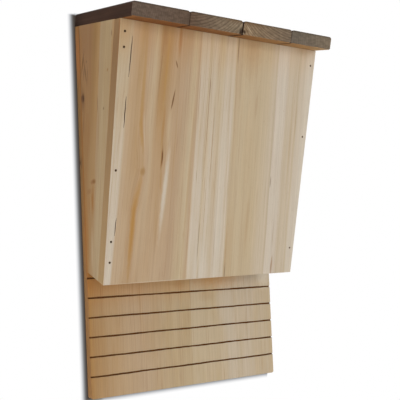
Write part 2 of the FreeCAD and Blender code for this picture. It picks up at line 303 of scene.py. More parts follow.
def wave(seed, across):
    """A small slow wobble, in millimetres, the same wherever it is asked for."""
    draw = random.Random(seed)
    total = 0.0
    for size, length in WAVES:
        height = size * draw.uniform(0.7, 1.3)
        total += height * sin(across / length + draw.uniform(0, 2 * pi))
    return total


def groove(number, left, right):
    """One saw groove across a stave of the landing board, a little uneven as the blade wandered.
    Its two edges and its depth each have their own wobble, the same on both staves."""
    seed = 10 * number
    height = GROOVE_FIRST + number * GROOVE_PITCH
    low, high = height - GROOVE_WIDE / 2, height + GROOVE_WIDE / 2
    bm = block((left - OVERSHOOT, -OVERSHOOT, low), (right + OVERSHOOT, GROOVE_DEEP, high))
    long_edges = [e for e in bm.edges if runs_along(e, 0)]
    cuts = int((right - left) / GROOVE_STEP)
    bmesh.ops.subdivide_edges(bm, edges=long_edges, cuts=cuts, use_grid_fill=True)
    for v in bm.verts:
        upper = v.co.z > height
        v.co.z += wave(seed + upper, v.co.x)
        if v.co.y > 0:
            v.co.y += DEPTH_WANDER * wave(seed + 7, v.co.x)
    return bm


def drying_check(start, end, wide, deep, seed):
    """A thin spindle-shaped slit along the grain between two points (X, Z) of the outer face."""
    (x0, z0), (x1, z1) = start, end
    length = hypot(x1 - x0, z1 - z0)
    bm = block((-wide / 2, -OVERSHOOT, 0), (wide / 2, deep, length))
    long_edges = [e for e in bm.edges if runs_along(e, 2)]
    bmesh.ops.subdivide_edges(bm, edges=long_edges, cuts=CHECK_CUTS, use_grid_fill=True)
    for v in bm.verts:
        swell = max(CHECK_TIP, sin(pi * v.co.z / length)) ** CHECK_TAPER
        v.co.x = v.co.x * swell + CHECK_WANDER * wave(seed, v.co.z)
        if v.co.y > 0:
            v.co.y *= swell
    turn = Matrix.Rotation(atan2(x1 - x0, z1 - z0), 4, "Y")
    bm.transform(Matrix.Translation((x0, 0, z0)) @ turn)
    return bm


# Brads


def front_point(inwards, up):
    """Box coordinates, in millimetres, of a point on the front board."""
    return Vector((
        0,
        -DEPTH_BOTTOM + inwards * cos(LEAN) - up * sin(LEAN),
        FOOT + FRONT_BOTTOM + inwards * sin(LEAN) + up * cos(LEAN),
    ))


BradLine = namedtuple("BradLine", "point inwards length")


def at_x(point, x):
    return Vector((x, point.y, point.z))


def side_brads(side, heights, front):
    x = side * (HALF_WIDTH - BRAD_FROM_EDGE)
    if front:
        inwards = Vector((0, cos(LEAN), sin(LEAN)))
        return [BradLine(at_x(front_point(0, up), x), inwards, SIDE_BRAD) for up in heights]
    return [BradLine(Vector((x, 0, FOOT + up)), Vector((0, -1, 0)), SIDE_BRAD) for up in heights]


def roof_brads(number, front):
    left, right = ROOF_EDGES[number]
    if front:
        slope = ROOF_FALL - LEAN
        half = FRONT_THICK / 2
        up = FRONT_LENGTH + half * tan(slope) + ROOF_THICK / cos(slope)
        point = front_point(half, up)
        inwards = Vector((0, sin(LEAN), -cos(LEAN)))
    else:
        y = -BACK_THICK / 2
        top = FOOT + BACK_TALL + y * tan(ROOF_FALL) + ROOF_THICK / cos(ROOF_FALL)
        point, inwards = Vector((0, y, top)), Vector((0, 0, -1))
    centre = (left + right) / 2
    places = (centre - ROOF_BRAD_SPREAD / 2, centre + ROOF_BRAD_SPREAD / 2)
    return [BradLine(at_x(point, x), inwards, ROOF_BRAD) for x in places]


def bore(line, board_frame, radius=BRAD_RADIUS, mouth=None):
    """A round hole as a cutter in a board's frame, with a crushed wider mouth where a brad went in."""
    hole = radius + BRAD_CLEARANCE
    out = -BORE_OVERSHOOT
    rim = [(hole, out)]
    if mouth:
        wide, deep = mouth
        rim = [(wide, out), (wide, 0), (hole, deep)]
    bm = turned([(0, out), *rim, (hole, line.length), (0, line.length)])
    turn = line.inwards.to_track_quat("Z", "Y").to_matrix().to_4x4()
    board = Matrix.Translation(board_frame.origin) @ Euler(board_frame.turn).to_matrix().to_4x4()
    bm.transform(board.inverted() @ Matrix.Translation(line.point) @ turn)
    return bm


def brad_holes(lines, board_frame, mouth=PLAIN_MOUTH):
    return [bore(line, board_frame, mouth=mouth) for line in lines]


# Building up finishes from nodes

WOOD_TONES = {
    "pale": "c8bcab",
    "cream": "c0b099",
    "straw": "bba88a",
    "tan": "b59c7e",
    "honey": "ac8c63",
    "amber": "a47b47",
    "orange": "a5733c",
    "russet": "8f6136",
    "bark": "5f4228",
    "pitch": "2c1c11",
}


def tone(name):
    code = WOOD_TONES.get(name, name)
    channels = [int(code[i:i + 2], 16) / 255 for i in (0, 2, 4)]
    return (*(c / 12.92 if c <= 0.04045 else ((c + 0.055) / 1.055) ** 2.4 for c in channels), 1)


class Finish:
    """Adds nodes to one tree. Each call returns the socket that comes out of the node it adds."""

    def __init__(self, tree):
        self.tree = tree

    def add(self, kind, inputs=None, output=0, **settings):
        node = self.tree.nodes.new(kind)
        for key, value in settings.items():
            setattr(node, key, value)
        for key, value in (inputs or {}).items():
            self.feed(node.inputs[key], value)
        return node.outputs[output]

    def feed(self, socket, value):
        if isinstance(value, bpy.types.NodeSocket):
            self.tree.links.new(value, socket)
        elif value is not None:
            socket.default_value = value

    def calc(self, operation, *values):
        return self.add("ShaderNodeMath", dict(enumerate(values)), operation=operation)

    def times(self, first, second):
        return self.calc("MULTIPLY", first, second)

    def plus(self, first, second):
        return self.calc("ADD", first, second)

    def minus(self, first, second):
        return self.calc("SUBTRACT", first, second)

    def vector(self, operation, *values, output="Vector"):
        return self.add("ShaderNodeVectorMath", dict(enumerate(values)), output, operation=operation)

    def length(self, vector):
        return self.vector("LENGTH", vector, output="Value")

    def split(self, vector):
        node = self.tree.nodes.new("ShaderNodeSeparateXYZ")
        self.feed(node.inputs[0], vector)
        return node.outputs

    def join(self, x, y, z):
        return self.add("ShaderNodeCombineXYZ", {0: x, 1: y, 2: z})

    def colours(self, amount, first, second, way="MIX"):
        return self.add(
            "ShaderNodeMix", {0: amount, 6: first, 7: second}, 2,
            data_type="RGBA", blend_type=way, clamp_factor=True,
        )

    def tint(self, mask, strength, colour, over, way="MIX"):
        """Lays a tone over the colour where the mask is."""
        return self.colours(self.times(mask, strength), colour, tone(over), way)

    def span(self, value, low, high, to_low=0.0, to_high=1.0, way="SMOOTHSTEP"):
        inputs = {0: value, 1: low, 2: high, 3: to_low, 4: to_high}
        return self.add("ShaderNodeMapRange", inputs, interpolation_type=way)

    def noise(self, place, scale, detail=2.0, rough=0.5):
        """Noise from 0 to 1. Scale is the size of a lump in millimetres along X, Y and Z."""
        stretched = self.vector("DIVIDE", place, scale)
        inputs = {"Vector": stretched, "Scale": 1.0, "Detail": detail, "Roughness": rough}
        return self.add("ShaderNodeTexNoise", inputs)

    def ramp(self, amount, stops):
        """Tones blended into one another. Stops are (position from 0 to 1, tone), in order."""
        node = self.tree.nodes.new("ShaderNodeValToRGB")
        self.feed(node.inputs[0], amount)
        elements = node.color_ramp.elements
        for element, (position, colour) in zip(elements, (stops[0], stops[-1])):
            element.position = position
            element.color = tone(colour)
        for position, colour in stops[1:-1]:
            elements.new(position).color = tone(colour)
        return node.outputs[0]

    def scaled(self, colour, factor):
        return self.add("ShaderNodeVectorMath", {0: colour, 3: factor}, operation="SCALE")

    def surface(self, shader, kind="Material"):
        self.feed(self.tree.nodes.new("ShaderNodeOutput" + kind).inputs["Surface"], shader)

    def group(self, name, inputs):
        node = self.tree.nodes.new("ShaderNodeGroup")
        node.node_tree = bpy.data.node_groups[name]
        for key, value in inputs.items():
            self.feed(node.inputs[key], value)
        return node.outputs


def new_group(name, inputs, outputs):
    """An empty node group. Each input is (name, kind, default), and the outputs are names of numbers."""
    tree = bpy.data.node_groups.new(name, "ShaderNodeTree")
    for key, kind, default in inputs:
        socket = tree.interface.new_socket(key, in_out="INPUT", socket_type="NodeSocket" + kind)
        if default is not None:
            socket.default_value = default
    for key in outputs:
        tree.interface.new_socket(key, in_out="OUTPUT", socket_type="NodeSocketFloat")
    finish = Finish(tree)
    coming_in = tree.nodes.new("NodeGroupInput")
    going_out = tree.nodes.new("NodeGroupOutput")
    return finish, coming_in.outputs, going_out.inputs


# Sizes, in millimetres along X, Y and Z, of what the grain is made of
SLOW_BEND = (55, 55, 190)
QUICK_BEND = (9, 9, 70)
FIBRE = (0.45, 0.45, 22)
STREAK = (1.3, 1.3, 110)
CLOUD = (17, 17, 110)
LONG_LINE = (3.2, 3.2, 420)
FLECK = (0.45, 0.45, 5)
RAGGED_EDGE = (1.3, 1.3, 6.0)

# Seeds shift the grain by these, rings differ in width by this, and fibres and latewood stand up by these.
SEED_STRIDES = (173.0, 71.0, 397.0)
RING_UNEVEN = 1.6
FIBRE_HIGH = 0.06
LATEWOOD_HIGH = 0.03


def make_grain_group():
    """Growth rings about a pith line and fibres along Z. Drift is how far the grain wanders sideways."""
    finish, given, result = new_group(
        "grain",
        [
            ("Place", "Vector", None), ("Pith", "Vector", (0, 60, 0)), ("Ring gap", "Float", 3.0),
            ("Wander", "Float", 4.0), ("Seed", "Float", 0.0),
        ],
        ("Latewood", "Fibre", "Streak", "Cloud", "Fleck", "Line", "Drift", "Height"),
    )
    shift = finish.join(*(finish.times(given["Seed"], stride) for stride in SEED_STRIDES))
    place = finish.vector("ADD", given["Place"], shift)
    slow = finish.minus(finish.noise(place, SLOW_BEND, 2.0), 0.5)
    quick = finish.minus(finish.noise(place, QUICK_BEND, 2.0), 0.5)
    drift = finish.times(finish.plus(slow, finish.times(quick, 0.3)), given["Wander"])
    own = finish.split(given["Place"])
    pith = finish.split(given["Pith"])
    across = finish.minus(finish.plus(own["X"], drift), pith["X"])
    through = finish.minus(finish.plus(own["Y"], drift), pith["Y"])
    radius = finish.length(finish.join(across, through, 0.0))
    uneven = finish.noise(finish.join(radius, given["Seed"], 0.0), (7, 1, 1), 2.0)
    rings = finish.calc("DIVIDE", radius, given["Ring gap"])
    phase = finish.calc("FRACT", finish.plus(rings, finish.times(uneven, RING_UNEVEN)))
    latewood = finish.times(finish.span(phase, 0.35, 0.93), finish.span(phase, 0.95, 1.0, 1.0, 0.0))
    fibre = finish.noise(place, FIBRE, 3.0, 0.6)
    crossing = finish.calc("ABSOLUTE", finish.minus(finish.noise(place, LONG_LINE, 3.0, 0.55), 0.5))
    for key, value in (
        ("Latewood", latewood),
        ("Fibre", fibre),
        ("Streak", finish.noise(place, STREAK, 3.0, 0.6)),
        ("Cloud", finish.noise(place, CLOUD, 3.0, 0.55)),
        ("Fleck", finish.span(finish.noise(place, FLECK, 2.0), 0.66, 0.76)),
        ("Line", finish.span(crossing, 0.0, 0.018, 1.0, 0.0)),
        ("Drift", drift),
        ("Height", finish.plus(finish.times(fibre, FIBRE_HIGH), finish.times(latewood, LATEWOOD_HIGH))),
    ):
        finish.feed(result[key], value)


WHERE = [("Place", "Vector", None), ("Centre", "Vector", (0, 0, 0)), ("Half size", "Vector", (1, 1, 1))]


def make_mark_group():
    """A soft-edged long spot on a board's face, for knots, pitch streaks and pale flames, and for painted
    shade and painted highlights.
    """
    inputs = WHERE + [("Lean", "Float", 0.0), ("Edge", "Float", 0.5)]
    finish, given, result = new_group("mark", inputs, ("Mask",))
    from_centre = finish.vector("SUBTRACT", given["Place"], given["Centre"])
    turn = {"Vector": from_centre, "Angle": finish.times(given["Lean"], -1.0)}
    upright = finish.add("ShaderNodeVectorRotate", turn, rotation_type="Y_AXIS")
    distance = finish.length(finish.vector("DIVIDE", upright, given["Half size"]))
    ragged = finish.minus(finish.noise(given["Place"], RAGGED_EDGE, 3.0), 0.5)
    distance = finish.plus(distance, finish.times(ragged, 0.5))
    inner = finish.minus(1.0, given["Edge"])
    finish.feed(result["Mask"], finish.span(distance, inner, 1.0, 1.0, 0.0))


def make_swirl_group():
    """How far, in millimetres, the grain is pushed sideways where it flows round a knot."""
    finish, given, result = new_group("swirl", WHERE + [("Push", "Float", 3.0)], ("Shift",))
    from_centre = finish.vector("SUBTRACT", given["Place"], given["Centre"])
    distance = finish.length(finish.vector("DIVIDE", from_centre, given["Half size"]))
    near = finish.span(distance, 0.0, 1.0, 1.0, 0.0)
    finish.feed(result["Shift"], finish.times(near, given["Push"]))


make_grain_group()
make_mark_group()
make_swirl_group()

Swirl = namedtuple("Swirl", "x z wide tall push")
Mark = namedtuple("Mark", "x z wide tall lean tone strength edge y deep", defaults=(0.9, 0, 40))


def new_material(name):
    material = bpy.data.materials.new(name)
    material.use_nodes = True
    material.node_tree.nodes.clear()
    return material, Finish(material.node_tree)


def board_place(finish, board_frame):
    """The point's place in the board's own frame, in millimetres."""
    coordinates = finish.add("ShaderNodeTexCoord", output="Object")
    inputs = {
        "Vector": coordinates,
        "Location": [c / 1000 for c in board_frame.origin],
        "Rotation": board_frame.turn,
        "Scale": (MM, MM, MM),
    }
    return finish.add("ShaderNodeMapping", inputs, vector_type="TEXTURE")


def axis_of(board_frame, number):
    return Euler(board_frame.turn).to_matrix().col[number]


def facing(finish, axis):
    """1 where the surface faces along the axis, either way."""
    normal = finish.add("ShaderNodeTexCoord", output="Normal")
    along = finish.calc("ABSOLUTE", finish.vector("DOT_PRODUCT", normal, axis, output="Value"))
    return finish.span(along, 0.6, 0.85)


def shade(material, finish, colour, roughness, height, metallic=0.0, gloss=0.3):
    """The shader of a finish. Height is in millimetres."""
    bump = finish.add("ShaderNodeBump", {"Height": height, "Strength": 1.0, "Distance": MM})
    inputs = {
        "Base Color": colour, "Roughness": roughness, "Metallic": metallic, "Normal": bump,
        "Specular IOR Level": gloss,
    }
    finish.surface(finish.add("ShaderNodeBsdfPrincipled", inputs))
    return material


def spot(finish, place, mark, colour):
    """Lays one mark over the colour."""
    inputs = {
        "Place": place, "Centre": (mark.x, mark.y, mark.z), "Half size": (mark.wide, mark.deep, mark.tall),
        "Lean": radians(mark.lean), "Edge": mark.edge,
    }
    return finish.tint(finish.group("mark", inputs)["Mask"], mark.strength, colour, mark.tone)


def banded(finish, across, height, bands):
    """Tone bands (X, tone at the foot, tone at the head if it is another), which follow the grain."""
    low, high = bands[0][0], bands[-1][0]
    amount = finish.span(across, low, high, way="LINEAR")
    positions = [(band[0] - low) / (high - low) for band in bands]
    foot, head = (
        finish.ramp(amount, [(x, band[end]) for x, band in zip(positions, bands)]) for end in (1, -1)
    )
    return finish.colours(height, foot, head)


# The plain wood's tints and sizes
WARM_TINT = (0.93, 0.85, 0.70, 1)
# The warm tint of the painted shade under the roof and under the front
PAINTED_SHADE_TINT = (1.12, 0.80, 0.42, 1)
RING_TINT = "d2aa7a"
END_GRAIN = ("b08f68", "8a6640")
PORE = (0.5, 0.5, 0.5)
HALF_REACH = 110.0
SWIRL_DEEP = 40


def planed_wood(
    name, board_frame, bands, marks=(), swirls=(), pith=(0, 60, 0), ring_gap=2.0, ring_show=0.2, seed=1.0,
    fan=(0, 1, 0, 0), middle_height=116, edge_tones=("honey", "tan"), painted_shade=(), wander=3.0, cloudy=0.55,
    lined=0.3,
):
    """Bare planed wood. Fan is (X, X, lean at the first, lean at the second): how the grain spreads.
    The bands of painted shade, each (low, high, amount): from height low to high, the outer face is painted
    darker and warmer, as shade under the roof or under the front."""
    material, finish = new_material(name)
    place = board_place(finish, board_frame)
    own = finish.split(place)
    across = own["X"]
    for swirl in swirls:
        inputs = {
            "Place": place, "Centre": (swirl.x, 0, swirl.z), "Push": swirl.push,
            "Half size": (swirl.wide, SWIRL_DEEP, swirl.tall),
        }
        across = finish.minus(across, finish.group("swirl", inputs)["Shift"])
    flowing = finish.join(across, own["Y"], own["Z"])
    spread = finish.span(across, *fan)
    from_middle = finish.minus(own["Z"], float(middle_height))
    straight = finish.minus(across, finish.times(spread, from_middle))
    grain = finish.group("grain", {
        "Place": finish.join(straight, own["Y"], own["Z"]), "Pith": pith, "Ring gap": ring_gap,
        "Wander": wander, "Seed": seed,
    })
    height = finish.span(from_middle, -HALF_REACH, HALF_REACH, way="LINEAR")
    colour = banded(finish, finish.plus(straight, grain["Drift"]), height, bands)
    warm = finish.span(grain["Cloud"], 0.42, 0.68, 0.0, cloudy)
    colour = finish.colours(warm, colour, WARM_TINT, "MULTIPLY")
    colour = finish.tint(grain["Latewood"], ring_show, colour, RING_TINT, "MULTIPLY")
    streak = finish.span(grain["Streak"], 0.28, 0.72, 0.95, 1.06, "LINEAR")
    fibre = finish.span(grain["Fibre"], 0.3, 0.7, 0.96, 1.05, "LINEAR")
    colour = finish.scaled(colour, finish.times(streak, fibre))
    colour = finish.tint(grain["Fleck"], 0.3, colour, "russet")
    colour = finish.tint(grain["Line"], lined, colour, "russet")
    edge = finish.scaled(finish.ramp(height, list(zip((0.0, 1.0), edge_tones))), streak)
    colour = finish.colours(facing(finish, axis_of(board_frame, 0)), colour, edge)
    for mark in marks:
        colour = spot(finish, flowing, mark, colour)
    outer_face = finish.span(own["Y"], 1.5, 4.0, 1.0, 0.0)
    # Painted shade under the roof and under the front: the outer face darkens and warms from each band's
    # low height up to its high one.
    for low, high, amount in painted_shade:
        deep = finish.times(finish.span(own["Z"], low, high, 0.0, amount), outer_face)
        colour = finish.colours(deep, colour, PAINTED_SHADE_TINT, "MULTIPLY")
    end = finish.colours(grain["Latewood"], *(tone(name) for name in END_GRAIN))
    pores = finish.noise(place, PORE, 2.0)
    end = finish.scaled(end, finish.span(pores, 0.3, 0.7, 0.85, 1.1))
    colour = finish.colours(facing(finish, axis_of(board_frame, 2)), colour, end)
    rough = finish.span(grain["Fibre"], 0.3, 0.7, 0.64, 0.78, "LINEAR")
    return shade(material, finish, colour, rough, grain["Height"])


# Lumps of the small finishes
SAW_FUZZ = (1.1, 1.1, 0.8)
TARNISH = (0.8, 0.8, 0.8)
SPANGLE = (2.0, 2.0, 2.0)
RUBBING = (0.5, 0.5, 9.0)


def cut_wood_and_shade(name, dark, light):
    """The walls of grooves, checks and brad pits: rough, and darkened as painted shade inside the narrow
    cuts; the grooves' brown is partly the sawn wood's own.
    """
    material, finish = new_material(name)
    place = board_place(finish, BACK)
    lumps = finish.noise(place, SAW_FUZZ, 3.0)
    colour = finish.ramp(lumps, [(0.3, dark), (0.7, light)])
    return shade(material, finish, colour, 0.9, finish.times(lumps, 0.2))


# The roof's stain. The chips of a roof look lie on its board's end, with x across and z up.
RoofLook = namedtuple("RoofLook", "pith ring_gap seed ring_show end_tones bare_tones chips", defaults=((),))
STAIN_TONES = [(0.3, "291a12"), (0.5, "3a261b"), (0.72, "4b3325")]
STAINED_RING = "3f2f24"
STAIN_RIM = "33251c"
BLOTCH = (14, 14, 60)
STAIN_LUMP = (4.0, 2.2, 3.0)
# How far from the wall the roof's stained face is painted darker as shade, in millimetres
WALL_SHADE_REACH = 26.0
CHIP_DEEP = 8


def stained_wood(name, edges, look):
    """Dark stain on the top and the long edges, greyer on the thirsty end grain. The underside is bare."""
    material, finish = new_material(name)
    place = board_place(finish, ROOF)
    grain = finish.group("grain", {
        "Place": place, "Wander": 3.0, "Pith": look.pith, "Ring gap": look.ring_gap, "Seed": look.seed,
    })
    own = finish.split(place)
    blotch = finish.noise(place, BLOTCH, 3.0)
    cloud = finish.plus(finish.times(grain["Streak"], 0.6), finish.times(blotch, 0.4))
    # Painted shade: the stained face darkens towards the wall.
    face = finish.scaled(finish.ramp(cloud, STAIN_TONES), finish.span(own["Z"], 0.0, WALL_SHADE_REACH, 0.66, 1.0))
    left, right = edges
    over = finish.span(own["X"], left, right, way="LINEAR")
    end = finish.ramp(over, list(zip((0.0, 1.0), look.end_tones)))
    lump = finish.noise(place, STAIN_LUMP, 2.0, 0.5)
    end = finish.scaled(end, finish.span(lump, 0.3, 0.7, 0.82, 1.16))
    end = finish.tint(grain["Latewood"], look.ring_show, end, STAINED_RING)
    rim = finish.span(own["Y"], ROOF_THICK - 2.0, ROOF_THICK - 0.4, 0.0, 0.4)
    end = finish.colours(rim, end, tone(STAIN_RIM))
    on_end = finish.join(own["X"], own["Z"], own["Y"])
    for chip in look.chips:
        end = spot(finish, on_end, chip._replace(y=ROOF_LENGTH, deep=CHIP_DEEP), end)
    bare = finish.ramp(over, list(zip((0.0, 1.0), look.bare_tones)))
    bare = finish.scaled(bare, finish.span(grain["Streak"], 0.3, 0.7, 0.88, 1.1))
    ragged = finish.times(finish.minus(lump, 0.5), 0.8)
    at_foot = finish.span(finish.plus(own["Y"], ragged), 0.45, 0.1)
    from_left = finish.span(own["X"], left + 0.6, left + 1.6)
    from_right = finish.span(own["X"], right - 0.6, right - 1.6)
    underside = finish.times(at_foot, finish.times(from_left, from_right))
    colour = finish.colours(facing(finish, axis_of(ROOF, 2)), face, end)
    colour = finish.colours(underside, colour, bare)
    colour = finish.scaled(colour, finish.span(grain["Fibre"], 0.3, 0.7, 0.92, 1.08, "LINEAR"))
    rough = finish.span(grain["Fibre"], 0.3, 0.7, 0.7, 0.85, "LINEAR")
    return shade(material, finish, colour, rough, grain["Height"], gloss=0.1)


def brad_steel(name, dark, light):
    material, finish = new_material(name)
    place = board_place(finish, BACK)
    tarnish = finish.noise(place, TARNISH, 3.0)
    colour = finish.ramp(tarnish, [(0.35, dark), (0.7, light)])
    rough = finish.span(tarnish, 0.3, 0.7, 0.5, 0.75)
    return shade(material, finish, colour, rough, finish.times(tarnish, 0.05), metallic=0.5)


def zinc_plate():
    material, finish = new_material("zinc_plate")
    place = board_place(finish, BACK)
    spangle = finish.noise(place, SPANGLE, 2.0)
    rubbed = finish.noise(place, RUBBING, 3.0)
    colour = finish.ramp(spangle, [(0.35, "7f8385"), (0.65, "a5a8a7")])
    rough = finish.span(rubbed, 0.3, 0.7, 0.4, 0.6)
    height = finish.times(rubbed, 0.02)
    return shade(material, finish, colour, rough, height, metallic=1.0, gloss=0.5)


# The grooves' finish, also in the right front stave's brad pits: the sawn wood's brown, deepened with
# painted shade. The near-black finish of the checks and the other brad pits is painted shade.
GROOVE_CUT = cut_wood_and_shade("groove_cut", "4d2a0c", "70431b")
SHADED_CUT = cut_wood_and_shade("shaded_cut", "pitch", "bark")


# The boards


def stave(left, right, joint_side):
    """A back stave: sloping head, rounded outer foot corner, eased arrises except at the glue joint."""
    bm = block((left, 0, 0), (right, BACK_THICK, BACK_TALL))
    saw_off(bm, (0, BACK_THICK, BACK_TALL), (0, -sin(ROOF_FALL), cos(ROOF_FALL)))
    outer, joint = (left, right) if joint_side > 0 else (right, left)

    def at_outer_foot(edge):
        centre = middle(edge)
        return runs_along(edge, 1) and abs(centre.x - outer) < ON_FACE and centre.z < ON_FACE

    ease(bm, CORNER_ROUND, 4, at_outer_foot)
    ease(bm, ARRIS, 2, lambda e: is_sharp(e) and abs(middle(e).x - joint) > ON_JOINT)
    return bm


def back_cutters(side, left, right):
    cutters = [groove(number, left, right) for number in range(GROOVE_COUNT)]
    cutters += brad_holes(side_brads(side, BACK_BRADS, front=False), BACK)
    foot = -FOOT - PLATE_BELOW_HOLE
    let_in = BACK_THICK - PLATE_THICK
    cutters.append(slotted(PLATE_WIDE / 2, foot, foot + PLATE_TALL, let_in, PAST_BACK))
    return cutters


def hanger_cutters(left_one):
    """The hollow for the wall screw's head, and on the left stave the holes of the plate's own screws."""
    foot = -FOOT - HEAD_ROOM_WIDE / 2
    hollow = BACK_THICK - HEAD_ROOM_DEEP
    room = slotted(HEAD_ROOM_WIDE / 2, foot, foot + HEAD_ROOM_TALL, hollow, PAST_BACK)
    if not left_one:
        return [room]
    lines = [BradLine(Vector((0, 0, z)), Vector((0, -1, 0)), HANGER_SCREW) for z in HANGER_SCREWS_Z]
    return [room] + [bore(line, BACK, HANGER_SCREW_RADIUS) for line in lines]


back_left_wood = planed_wood(
    "back_left_wood", BACK,
    [
        (-110, "amber"), (-103, "a6845a"), (-84, "b19470", "honey"), (-50, "tan"), (-22, "b59e7c", "tan"),
        (6, "b8a382", "straw"),
    ],
    [
        Mark(-110, 226, 2, 3.4, 0, "pitch", 0.85, 0.9, 9.5, 4.5),
        Mark(-110, 226, 3, 9, 0, "bark", 0.45, 0.9, 7, 7),
        Mark(-110, 328, 3, 44, 0, "b5713a", 0.6, 0.9, 5, 6),
        Mark(-110, 150, 3, 30, 0, "orange", 0.5, 0.9, 4, 7), Mark(-86, 60, 5, 120, 0, "honey", 0.3),
        # Painted warm shade, which the front casts on the landing below its foot
        Mark(-9, 104, 11, 9, 0, "amber", 0.35, 0.9, 0, 5),
    ],
    pith=(-330, 40, 0), ring_gap=1.7, ring_show=0.08, seed=3.1, middle_height=180,
    edge_tones=("9a6f40", "8a673b"), painted_shade=[(80, 114, 0.6)], wander=2.0,
)
back_right_wood = planed_wood(
    "back_right_wood", BACK,
    [
        (4, "straw", "tan"), (30, "straw"), (50, "cream", "straw"), (75, "cream", "straw"),
        (98, "bdab90", "straw"), (110, "bdab90", "straw"),
    ],
    [
        Mark(24, 90, 16, 8, 0, "honey", 0.3, 0.9, 0, 5),
        # Painted warm shade below the front's foot
        Mark(34, 116, 56, 28, 0, "c08a4a", 0.75, 0.9, 0, 5),
        # Painted light at the right end, which lifts the real shadow below the front
        Mark(101, 114, 14, 26, 0, "dcd0bc", 0.85, 0.9, 0, 5),
    ],
    pith=(390, 30, 0), ring_gap=1.9, ring_show=0.08, seed=7.7, middle_height=180,
    edge_tones=("tan", "tan"), wander=2.0,
)
for name, wood, left, right, side in (
    ("left", back_left_wood, -HALF_WIDTH, BACK_JOINT, -1),
    ("right", back_right_wood, BACK_JOINT, HALF_WIDTH, 1),
):
    board = set_board(f"back_stave_{name}", stave(left, right, -side), BACK, [wood, GROOVE_CUT],
                      f"back_board_{name}", back_cutters(side, left, right))
    # The board is in the box's metres by now.
    cut_away(board, in_box(gather(hanger_cutters(side < 0)), BACK), SPECK / 1000)


def side_board(side):
    """side is -1 for the left board and 1 for the right one."""
    near, far = sorted((side * -BACK_THICK, side * -DEPTH_TOP))
    bm = block((near, 0, 0), (far, SIDE_THICK, BACK_TALL + SPARE_HEAD))
    lip = front_point(0, 0 if side < 0 else FRONT_SKEW)
    behind_front = front_point(FRONT_THICK, 0)
    for point, outwards in (
        ((side * lip.y, 0, lip.z - FOOT), (side * sin(ENTRY_CUT), 0, -cos(ENTRY_CUT))),
        ((side * behind_front.y, 0, behind_front.z - FOOT), (-side * cos(LEAN), 0, -sin(LEAN))),
        ((0, 0, BACK_TALL), (-side * sin(ROOF_FALL), 0, cos(ROOF_FALL))),
    ):
        saw_off(bm, point, outwards)
    ease(bm, SIDE_ARRIS, 1, is_sharp)
    return bm


side_left_wood = planed_wood(
    "side_left_wood", LEFT,
    [
        (9, "a8834e", "916c45"), (14, "a8834e", "916c45"), (24, "honey", "967444"), (34, "honey", "a78456"),
        (36.5, "honey", "a8916e"), (41, "b39c79", "aa936f"), (53, "b39c79", "aa936f"),
        (58.5, "tan", "aa936f"), (61, "b29b7a", "honey"), (66, "b29b7a", "honey"),
    ],
    [
        Mark(11, 284, 8.5, 17, 0, "6b4522", 0.6), Mark(8, 287, 5, 3.2, 0, "bark", 0.6),
        Mark(11.2, 285.8, 4.6, 6, 0, "472606", 1, 0.8), Mark(15, 318, 2.2, 17, 22, "5e3c1c", 0.75, 0.8),
        Mark(21, 309, 1.8, 19, -12, "5e3c1c", 0.6, 0.8), Mark(13, 262, 2.2, 20, 4, "6b4522", 0.45),
        Mark(29.5, 204, 7.5, 3.4, 0, "815427", 0.9), Mark(27, 186, 4.4, 19, 3, "9a6a33", 0.9),
        Mark(20, 196, 8, 4, 0, "russet", 0.5), Mark(19, 184, 2.6, 14, 2, "9a6a33", 0.5),
        Mark(69, 297.6, 2.1, 2.4, 0, "russet", 0.7, 0.8), Mark(58.2, 265.9, 1.7, 2.1, 0, "bark", 0.6, 0.8),
        Mark(80, 327, 1.4, 4.2, 0, "bark", 0.5, 0.8), Mark(45.8, 273, 0.85, 11, 4, "bark", 0.6, 0.7),
        Mark(17.6, 309, 1.3, 8, 15, "bark", 0.55, 0.8), Mark(24.5, 318, 2.4, 2.2, 0, "bark", 0.45),
        Mark(26, 306, 1.2, 12, 0, "bark", 0.45, 0.8), Mark(50.5, 305, 1.2, 12, 5, "russet", 0.5, 0.8),
        Mark(45.5, 252, 0.8, 30, 5, "russet", 0.5, 0.8), Mark(9.4, 332, 2.2, 46, 0, "4a2e15", 0.8, 0.8),
        Mark(9.6, 235, 1.6, 100, 0, "russet", 0.5, 0.8), Mark(24, 250, 1.2, 26, 0, "russet", 0.4),
        Mark(39.5, 128, 1, 12, 0, "russet", 0.4, 0.8), Mark(11, 160, 6, 66, 0, "orange", 0.75),
        Mark(12, 325, 5, 40, 0, "orange", 0.4), Mark(32, 300, 3, 40, 3, "russet", 0.25),
        Mark(22, 140, 3, 30, 4, "straw", 0.6),
    ],
    [Swirl(13.7, 286, 10, 26, 2.5), Swirl(31.5, 204, 9, 20, 2.0)],
    pith=(30, 160, 0), ring_gap=3.4, ring_show=0.16, seed=11.3,
    fan=(2, 28, 0.0, 0.19), middle_height=220, edge_tones=("honey", "honey"), lined=0.4,
)
side_right_wood = planed_wood(
    "side_right_wood", RIGHT,
    [
        (-98, "straw"), (-76, "cream"), (-60, "tan"), (-40, "straw"), (-22, "tan", "honey"), (-9, "honey"),
    ],
    [Mark(-52, 240, 2.2, 3, 0, "bark", 0.7, 0.6), Mark(-52, 238, 6, 16, 0, "russet", 0.35)],
    [Swirl(-52, 240, 10, 26, -2.5)],
    pith=(-30, 160, 0), ring_gap=3.0, ring_show=0.18, seed=15.9,
    fan=(-60, -20, -0.10, 0.0), middle_height=220,
)
set_board("tapered_side_left", side_board(-1), LEFT, [side_left_wood, SHADED_CUT],
          "side_board_left")
set_board("tapered_side_right", side_board(1), RIGHT, [side_right_wood, SHADED_CUT],
          "side_board_right")


